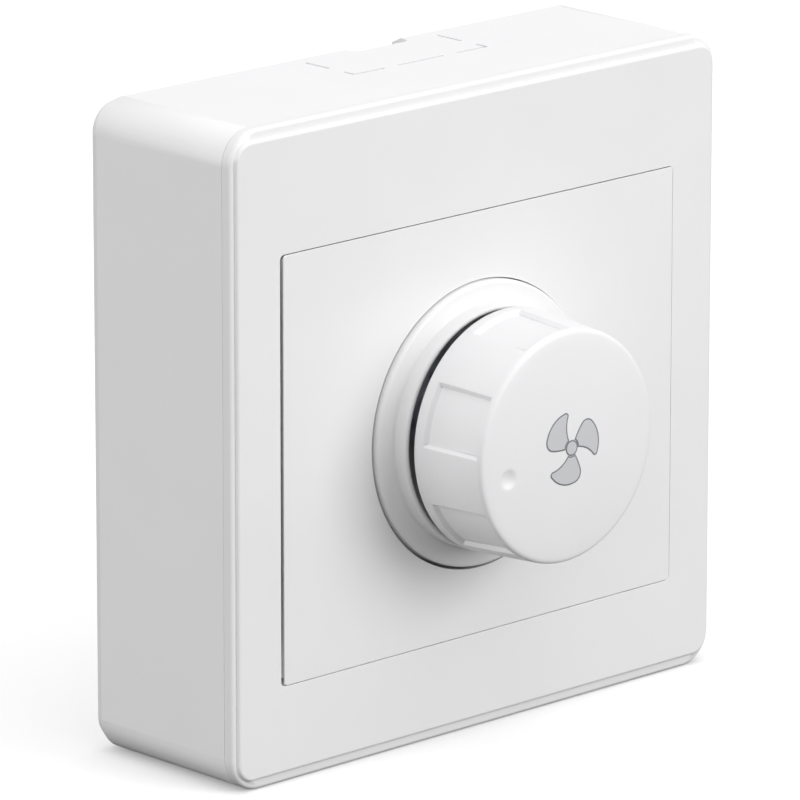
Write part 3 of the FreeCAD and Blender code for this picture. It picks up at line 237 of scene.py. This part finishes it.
def rounded_outline(width, height, radius, x=0.0, z=0.0):
    """Points of a rounded rectangle in millimetres: 9 on each corner and 9 more along each side."""
    points = []
    for corner in range(4):
        side_x, side_z = ((1, -1), (1, 1), (-1, 1), (-1, -1))[corner]
        centre = Vector((x + side_x * (width / 2 - radius), z + side_z * (height / 2 - radius)))
        for step in range(9):
            turn = math.radians(-90 + 90 * corner + 90 * step / 8)
            points.append(centre + radius * Vector((math.cos(turn), math.sin(turn))))
    spaced = []
    for index, point in enumerate(points):
        spaced.append(point)
        if index % 9 == 8:
            follower = points[(index + 1) % len(points)]
            spaced += [point.lerp(follower, step / 10) for step in range(1, 10)]
    return spaced


def at_depth(point, depth):
    """A place on the front view's plane, moved out to a depth in front of the wall."""
    return Vector((point.x * MM, -depth * MM, point.y * MM))


def lofted(bm, loops):
    """Extrudes the first loop to each of the others, and gives back the first and last loops' edges.

    Each loop is an outline and its depth in front of the wall, in millimetres.
    """
    order = bm.verts.layers.int.get("order") or bm.verts.layers.int.new("order")
    outline, depth = loops[0]
    corners = [bm.verts.new(at_depth(point, depth)) for point in outline]
    for index, corner in enumerate(corners):
        corner[order] = index
    first = [bm.edges.new((corners[index - 1], corners[index])) for index in range(len(corners))]
    last = first
    for outline, depth in loops[1:]:
        made = bmesh.ops.extrude_edge_only(bm, edges=last)["geom"]
        last = [item for item in made if isinstance(item, bmesh.types.BMEdge)]
        for corner in (item for item in made if isinstance(item, bmesh.types.BMVert)):
            corner.co = at_depth(outline[corner[order]], depth)
    return first, last


def piece(bm, name, materials, body, slot, *nodes):
    """Turns a finished mesh into a smooth piece that stands for some CAD nodes."""
    bmesh.ops.recalc_face_normals(bm, faces=bm.faces)
    mesh = bpy.data.meshes.new(name)
    bm.to_mesh(mesh)
    bm.free()
    mesh.polygons.foreach_set("use_smooth", [True] * len(mesh.polygons))
    for material in materials:
        mesh.materials.append(material)
    made = bpy.data.objects.new(name, mesh)
    bpy.context.scene.collection.objects.link(made)
    made.modifiers.new("even_shading", "WEIGHTED_NORMAL").keep_sharp = True
    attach(made, body)
    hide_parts(*nodes)
    return made


side, corner = 86.0, 4.5
rim_at_sides, rim_at_ends, face_corner = 0.75, 1.4, 2.5
seam, rim_front, face_front = 25.0, 26.5, 27.0
window_width, window_height, window_z = 69.9, 56.4, -2.0
ledge_width, ledge_thickness = 1.5, 1.0
skirt_outside, skirt_inside, skirt_length = 2.65, 4.05, 2.5


def rim_loop(inset, depth):
    return rounded_outline(side - 2 * inset, side - 2 * inset, corner - inset), depth


def face_loop(inset, depth):
    outline = rounded_outline(side - 2 * (rim_at_sides + inset), side - 2 * (rim_at_ends + inset),
                              face_corner - inset)
    return outline, depth


def window_loop(grow, depth):
    outline = rounded_outline(window_width + 2 * grow, window_height + 2 * grow, max(0.3, 0.7 + grow),
                              z=window_z)
    return outline, depth


bm = bmesh.new()
lofted(bm, [rim_loop(0.06, seam + 0.01), rim_loop(0.01, seam + 0.05), rim_loop(0.0, seam + 0.12),
            rim_loop(0.0, rim_front - 0.5), rim_loop(0.08, rim_front - 0.25),
            rim_loop(0.25, rim_front - 0.08), rim_loop(0.5, rim_front),
            face_loop(-0.02, rim_front), face_loop(0.0, rim_front + 0.08),
            face_loop(0.05, face_front - 0.2), face_loop(0.2, face_front - 0.05),
            face_loop(0.42, face_front), window_loop(0.08, face_front),
            window_loop(0.0, face_front - 0.08), window_loop(0.0, seam),
            window_loop(-ledge_width, seam), window_loop(-ledge_width, seam - ledge_thickness),
            rim_loop(skirt_inside, seam - ledge_thickness), rim_loop(skirt_inside, seam - skirt_length),
            rim_loop(skirt_outside, seam - skirt_length), rim_loop(skirt_outside, seam + 0.01),
            rim_loop(0.06, seam + 0.01)])
bmesh.ops.remove_doubles(bm, verts=bm.verts, dist=1e-7)
piece(bm, "frame_surround", [face_plastic], "housing", "face_plastic", "cover_frame")

# ---- Centre plate ------------------------------------------------------------------------------
# A flat landscape plate of the same plastic, held in the frame's window by hooks behind it.
# Its outer edge and the edge of its round hole are slightly softened.
plate_width, plate_height, plate_x = 69.35, 56.22, 0.24
undercut = 0.6
hole_radius, hole_z = 19.18, window_z - 0.14


def circle_outline(radius, count, z):
    """Evenly spaced points on a circle about a height, in millimetres."""
    turns = [2 * math.pi * index / count for index in range(count)]
    return [Vector((radius * math.cos(turn), z + radius * math.sin(turn))) for turn in turns]


def plate_loop(inset, depth):
    outline = rounded_outline(plate_width - 2 * inset, plate_height - 2 * inset, max(0.2, 0.5 - inset),
                              plate_x, window_z)
    return outline, depth


def hole_loop(grow, depth):
    return circle_outline(hole_radius + grow, 180, hole_z), depth


bm = bmesh.new()
sides = lofted(bm, [plate_loop(undercut, seam), plate_loop(undercut, face_front - 0.35),
                    plate_loop(0.0, face_front - 0.2), plate_loop(0.0, face_front - 0.06),
                    plate_loop(0.06, face_front)])
hole = lofted(bm, [hole_loop(0.0, seam), hole_loop(0.0, face_front - 0.08), hole_loop(0.08, face_front)])
for side_edges, hole_edges in zip(sides, hole):
    bmesh.ops.triangle_fill(bm, edges=side_edges + hole_edges, use_beauty=True)
piece(bm, "plate_panel", [face_plastic], "housing", "face_plastic", "centre_plate")

# ---- Collar ------------------------------------------------------------------------------------
# A moulded ring that stands through the plate: a low band, a riser and a thin lip.
# It is open in the middle, where the spindle stands.


def turned(profile, steps, first_turn=0.0):
    """A full turn of a profile of (radius, depth) in millimetres about the knob's axis."""
    bm = bmesh.new()
    corners = [bm.verts.new((radius * MM, -depth * MM, 0)) for radius, depth in profile]
    edges = [bm.edges.new(pair) for pair in zip(corners, corners[1:])]
    bmesh.ops.rotate(bm, cent=(0, 0, 0), verts=bm.verts, matrix=Matrix.Rotation(-first_turn, 3, "Y"))
    bmesh.ops.spin(bm, geom=corners + edges, cent=(0, 0, 0), axis=(0, 1, 0), angle=2 * math.pi, steps=steps,
                   use_merge=True)
    bmesh.ops.remove_doubles(bm, verts=bm.verts, dist=1e-7)
    return bm


collar_profile = [(14.0, 23.5), (20.2, 23.5), (20.2, 24.75), (18.9, 24.75), (18.9, 27.25), (18.84, 27.5),
                  (18.68, 27.7), (18.4, 27.8), (16.35, 27.8), (16.17, 27.86), (16.1, 28.05), (16.1, 29.6),
                  (16.02, 29.82), (15.8, 29.95), (15.55, 29.95), (15.45, 29.88), (15.3, 28.6), (14.0, 28.0),
                  (14.0, 23.5)]
bm = turned(collar_profile, 180)
bmesh.ops.translate(bm, vec=(0, 0, window_z * MM), verts=bm.verts)
piece(bm, "collar_ring", [face_plastic], "housing", "face_plastic", "knob_collar")

# ---- Knob --------------------------------------------------------------------------------------
# A hollow round knob in satin white plastic that pushes on the spindle's flat: a slightly domed
# top, six shallow grip panels let into its side and a finger dimple near the edge of the top.
knob_plastic = textured("knob_white", (0.865, 0.863, 0.87), 0.42, grain=0.0004, relief=0.000004)
crown, dome_radius = 43.66, 146.7
panel_rear, panel_front, panel_half_turn = 33.0, 42.1, 15.5


def top_depth(radius):
    return crown - radius ** 2 / (2 * dome_radius)


def side_radius(depth):
    return 16.1 - 0.8 * (depth - 31.35) / 11.55


fine_rings = [12.6 - 0.2 * step for step in range(17)]     # close rings, to carry the dimple
knob_profile = [(0.0, 41.0), (13.3, 41.0), (14.3, 31.5), (14.45, 31.35), (15.8, 31.35), (16.0, 31.42),
                (side_radius(31.6), 31.6), (side_radius(panel_rear), panel_rear),
                (side_radius(panel_front), panel_front), (15.32, 42.38), (15.26, 42.58), (15.12, 42.76),
                (14.9, 42.87), (14.6, top_depth(14.6))]
knob_profile += [(radius, top_depth(radius)) for radius in [13.4] + fine_rings + [8.6, 7.0, 4.6, 2.2, 0.0]]
bm = turned(knob_profile, 360, math.radians(0.5))


def polar_turn(point):
    """The angle of a point about the knob's axis, in degrees from +X towards +Z."""
    return math.degrees(math.atan2(point.z, point.x))


def nearest_panel(turn, first=41.0, apart=60.0):
    """How far an angle lies from the middle of the nearest grip panel."""
    return abs((turn - first + apart / 2) % apart - apart / 2)


panels = [face for face in bm.faces
          if panel_rear < -face.calc_center_median().y / MM < panel_front
          and face.calc_center_median().xz.length > 15 * MM
          and nearest_panel(polar_turn(face.calc_center_median())) < panel_half_turn]
bmesh.ops.recalc_face_normals(bm, faces=bm.faces)
bmesh.ops.inset_region(bm, faces=panels, thickness=0.42 * MM, depth=-0.58 * MM, use_even_offset=True,
                       use_boundary=True)


def middle_depth(edge):
    return -(edge.verts[0].co.y + edge.verts[1].co.y) / 2 / MM


panel_steps = [edge for edge in bm.edges if edge.is_manifold and edge.calc_face_angle() > 0.5
               and panel_rear - 0.3 < middle_depth(edge) < panel_front + 0.15
               and edge.verts[0].co.xz.length > 14.9 * MM]
bmesh.ops.bevel(bm, geom=panel_steps, offset=0.09 * MM, segments=2, profile=0.5, affect="EDGES",
                material=-1)

dimple_turn, dimple_circle = math.radians(191.5), 11.0 * MM
dimple_mouth, dimple_depth = 1.3 * MM, 0.3 * MM
dimple_x, dimple_z = dimple_circle * math.cos(dimple_turn), dimple_circle * math.sin(dimple_turn)
for corner_point in bm.verts:
    away = math.hypot(corner_point.co.x - dimple_x, corner_point.co.z - dimple_z) / dimple_mouth
    if away < 1 and corner_point.co.y < -42 * MM:
        corner_point.co.y += dimple_depth * (1 - away ** 2)
bmesh.ops.translate(bm, vec=(0, 0, window_z * MM), verts=bm.verts)
piece(bm, "knob_cap", [knob_plastic], "knob", "knob_plastic", "knob_shell")

# ---- Fan symbol --------------------------------------------------------------------------------
# A three-bladed fan printed in pale grey at the middle of the knob's top; its darker outline is painted
# shade along the symbol's edge.
symbol_fill = textured("symbol_pale_grey", (0.60, 0.605, 0.62), 0.5, grain=0.0002, relief=0.000002)
# The dark outline colour is painted shade, standing for the dark line where the symbol's edge meets the
# knob's top.
symbol_edge_shade = textured("symbol_edge_painted_shade", (0.20, 0.205, 0.22), 0.5, grain=0.0002, relief=0.000002)


def arc_points(start, middle, end, count=8):
    """Points along the circular arc through three points, without the last one."""
    ax, ay = start
    bx, by = middle
    cx, cy = end
    twice = 2 * (ax * (by - cy) + bx * (cy - ay) + cx * (ay - by))
    a, b, c = start.length_squared, middle.length_squared, end.length_squared
    centre = Vector(((a * (by - cy) + b * (cy - ay) + c * (ay - by)) / twice,
                     (a * (cx - bx) + b * (ax - cx) + c * (bx - ax)) / twice))
    first, last, mid = (math.atan2(*(point - centre).yx) for point in (start, end, middle))
    sweep = (last - first) % (2 * math.pi)
    if (mid - first) % (2 * math.pi) > sweep:
        sweep -= 2 * math.pi
    turns = [first + sweep * step / count for step in range(count)]
    radius = (start - centre).length
    return [centre + radius * Vector((math.cos(turn), math.sin(turn))) for turn in turns]


tip, root, hub, edge_shade_width = 4.95, 1.1, 1.05, 0.19
blade_polar = [(root, -5), (0.58 * tip, -13), (0.88 * tip, -23), (0.96 * tip, -21), (0.99 * tip, -15),
               (tip, 12), (0.96 * tip, 40), (0.85 * tip, 53), (0.67 * tip, 59), (0.45 * tip, 62),
               (root, 64), (root, 28)]
blade_points = [radius * Vector((math.cos(math.radians(turn)), math.sin(math.radians(turn))))
                for radius, turn in blade_polar]
blade = []
for start in range(0, 12, 2):
    blade += arc_points(blade_points[start], blade_points[start + 1], blade_points[(start + 2) % 12])
outlines = [circle_outline(hub, 32, 0.0)]
for turn in (0, 120, 240):
    outlines.append([Matrix.Rotation(math.radians(turn), 2) @ point for point in blade])
bm = bmesh.new()
for outline in outlines:
    shape = bm.faces.new([bm.verts.new((point.x * MM, 0, point.y * MM)) for point in outline])
    shape.normal_update()
    # The inset border around each shape gets the painted-shade outline colour.
    border = bmesh.ops.inset_region(bm, faces=[shape], thickness=edge_shade_width * MM, use_even_offset=True,
                                    use_boundary=True)["faces"]
    for face in border:
        face.material_index = 1
bmesh.ops.triangulate(bm, faces=bm.faces)
bmesh.ops.subdivide_edges(bm, edges=bm.edges, cuts=1)
bm.normal_update()
for face in bm.faces:
    if face.normal.y > 0:
        face.normal_flip()
for point in bm.verts:
    point.co.y = -(top_depth(point.co.xz.length / MM) + 0.02) * MM
    point.co.z += window_z * MM
bmesh.ops.solidify(bm, geom=bm.faces[:], thickness=0.06 * MM)
piece(bm, "fan_print_and_edge_shade", [symbol_fill, symbol_edge_shade], "knob", "symbol_grey", "fan_symbol")

# ---- Spindle, clip and knob spring ------------------------------------------------------------
# Turned bright steel spindle; the clip and the leaf in the knob are blued spring steel.
spindle_steel = textured("turned_steel", (0.60, 0.60, 0.61), 0.28, metallic=1.0, grain=0.0002,
                         stretch=(0.2, 4, 0.2), spread=0.06)
spring_steel = textured("blued_spring_steel", (0.34, 0.36, 0.42), 0.32, metallic=1.0, grain=0.0002,
                        spread=0.08)
paint_nodes(spindle_steel, "spindle")
paint_nodes(spring_steel, "knob_grip_spring", "spindle_clip")

# ---- Potentiometer and its bush ---------------------------------------------------------------
# Brass bush with a zinc-plated nut, washer and can; a brown phenolic track and a nylon wiper.
bush_brass = textured("turned_brass", (0.66, 0.50, 0.22), 0.3, metallic=1.0, grain=0.0002,
                      stretch=(0.2, 4, 0.2), spread=0.06)
zinc_steel = textured("zinc_plate", (0.62, 0.64, 0.67), 0.38, metallic=1.0, grain=0.0012, relief=0.000003,
                      spread=0.09)
track_phenolic = textured("phenolic_paper", (0.16, 0.085, 0.04), 0.5, grain=0.0006, spread=0.12)
rotor_nylon = textured("natural_nylon", (0.72, 0.70, 0.64), 0.5, grain=0.0005)
contact_bronze = textured("phosphor_bronze", (0.60, 0.36, 0.18), 0.34, metallic=1.0, grain=0.0002,
                          spread=0.07)
paint_nodes(bush_brass, "spindle_bush")
paint_nodes(zinc_steel, "bush_washer", "bush_nut", "potentiometer_can")
paint_nodes(track_phenolic, "resistive_track")
paint_nodes(rotor_nylon, "wiper_rotor", "trimmer_rotor")
paint_nodes(contact_bronze, "wiper_contact", "fuse_clips")

# ---- Push switch ------------------------------------------------------------------------------
# A small tactile switch in black plastic with a red plunger, soldered to the board.  The dome of
# spring steel lies under the plunger.
switch_plastic = textured("switch_black", (0.022, 0.022, 0.024), 0.45, grain=0.0003, spread=0.1)
plunger_plastic = textured("plunger_red", (0.50, 0.035, 0.03), 0.4, grain=0.0003, spread=0.05)
paint_nodes(switch_plastic, "switch_housing")
paint_nodes(plunger_plastic, "switch_plunger")
dome_rear, dome_front, press = 9.85, 12.6, 1.0
dome_profile = [(3.15, dome_rear), (3.4, dome_rear), (1.55, dome_front), (1.3, dome_front),
                (3.15, dome_rear)]
bm = turned(dome_profile, 48)
bmesh.ops.translate(bm, vec=(0, 0, window_z * MM), verts=bm.verts)
dome = piece(bm, "return_dome", [spring_steel], "housing", "spring_steel", "switch_spring")
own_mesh(dome)

# ---- Strap and its fixings --------------------------------------------------------------------
# A zinc-plated steel pressing across the box, held by two screws; brass pillars carry the board.
clamp_brass = textured("plain_brass", (0.68, 0.52, 0.24), 0.34, metallic=1.0, grain=0.0003, spread=0.07)
paint_nodes(zinc_steel, "mounting_strap", "strap_screws", "board_screws", "triac_screw", "triac_nut")
paint_nodes(clamp_brass, "board_pillars", "terminal_clamps")

# ---- Triac and heat sink ----------------------------------------------------------------------
# A black epoxy package on a tinned tab, screwed to a bent mill-finish aluminium plate.
sink_aluminium = textured("rolled_aluminium", (0.70, 0.71, 0.72), 0.4, metallic=1.0, grain=0.0004,
                          stretch=(6, 1, 0.3), spread=0.08)
package_black = textured("moulded_epoxy", (0.018, 0.018, 0.02), 0.55, grain=0.0002, spread=0.1)
tinned_copper = textured("tinned_copper", (0.62, 0.62, 0.60), 0.3, metallic=1.0, grain=0.0005, spread=0.1)
paint_nodes(sink_aluminium, "heat_sink")
paint_nodes(package_black, "triac_body")
paint_nodes(tinned_copper, "triac_tab", "triac_legs", "component_pins", "fuse_caps")

# ---- Choke ------------------------------------------------------------------------------------
# A yellow coated powder ring wound with enamelled copper wire.
core_powder = textured("core_coating", (0.66, 0.48, 0.05), 0.4, grain=0.0008, relief=0.00001, spread=0.06)
enamelled_copper = textured("enamelled_wire", (0.50, 0.17, 0.06), 0.22, metallic=1.0, grain=0.0004,
                            coat=0.5, spread=0.08)
paint_nodes(core_powder, "choke_core")
paint_nodes(enamelled_copper, "choke_winding")

# ---- Fuse -------------------------------------------------------------------------------------
# A glass cartridge fuse between two tinned caps in bronze clips.
fuse_glass = textured("fuse_glass", (0.93, 0.95, 0.95), 0.05, transmission=1.0, grain=0.002, relief=0.000001)
paint_nodes(fuse_glass, "fuse_tube")

# ---- Terminals --------------------------------------------------------------------------------
# Three rising-clamp terminals in a grey moulding, with slotted zinc-plated screws.
terminal_grey = textured("terminal_moulding", (0.17, 0.185, 0.21), 0.45, grain=0.0003, spread=0.05)
paint_nodes(terminal_grey, "terminal_block")
paint_nodes(zinc_steel, "terminal_screws")

# ---- Circuit board and small parts ------------------------------------------------------------
# A green laminate with a boxed film capacitor, a dipped capacitor, three resistors and a diac.
board_laminate = textured("solder_mask", (0.015, 0.10, 0.035), 0.35, grain=0.0006, coat=0.3, spread=0.1)
film_capacitor = textured("capacitor_case", (0.60, 0.40, 0.05), 0.3, grain=0.0004, spread=0.04)
ceramic_brown = textured("dipped_coating", (0.34, 0.085, 0.02), 0.25, grain=0.001, relief=0.00001,
                         spread=0.08)
resistor_body = textured("resistor_lacquer", (0.45, 0.32, 0.15), 0.35, grain=0.0005, spread=0.08)
diode_glass = textured("diode_glass", (0.70, 0.20, 0.06), 0.08, transmission=0.6, grain=0.001, spread=0.05)
paint_nodes(board_laminate, "circuit_board")
paint_nodes(film_capacitor, "suppression_capacitor")
paint_nodes(ceramic_brown, "timing_capacitor")
paint_nodes(resistor_body, "resistors")
paint_nodes(diode_glass, "diac")

# ---- Trimmer ----------------------------------------------------------------------------------
# A blue moulded base under a slotted nylon rotor, set through a hole in the strap.
trimmer_blue = textured("trimmer_moulding", (0.015, 0.06, 0.32), 0.4, grain=0.0003, spread=0.05)
paint_nodes(trimmer_blue, "trimmer_base")
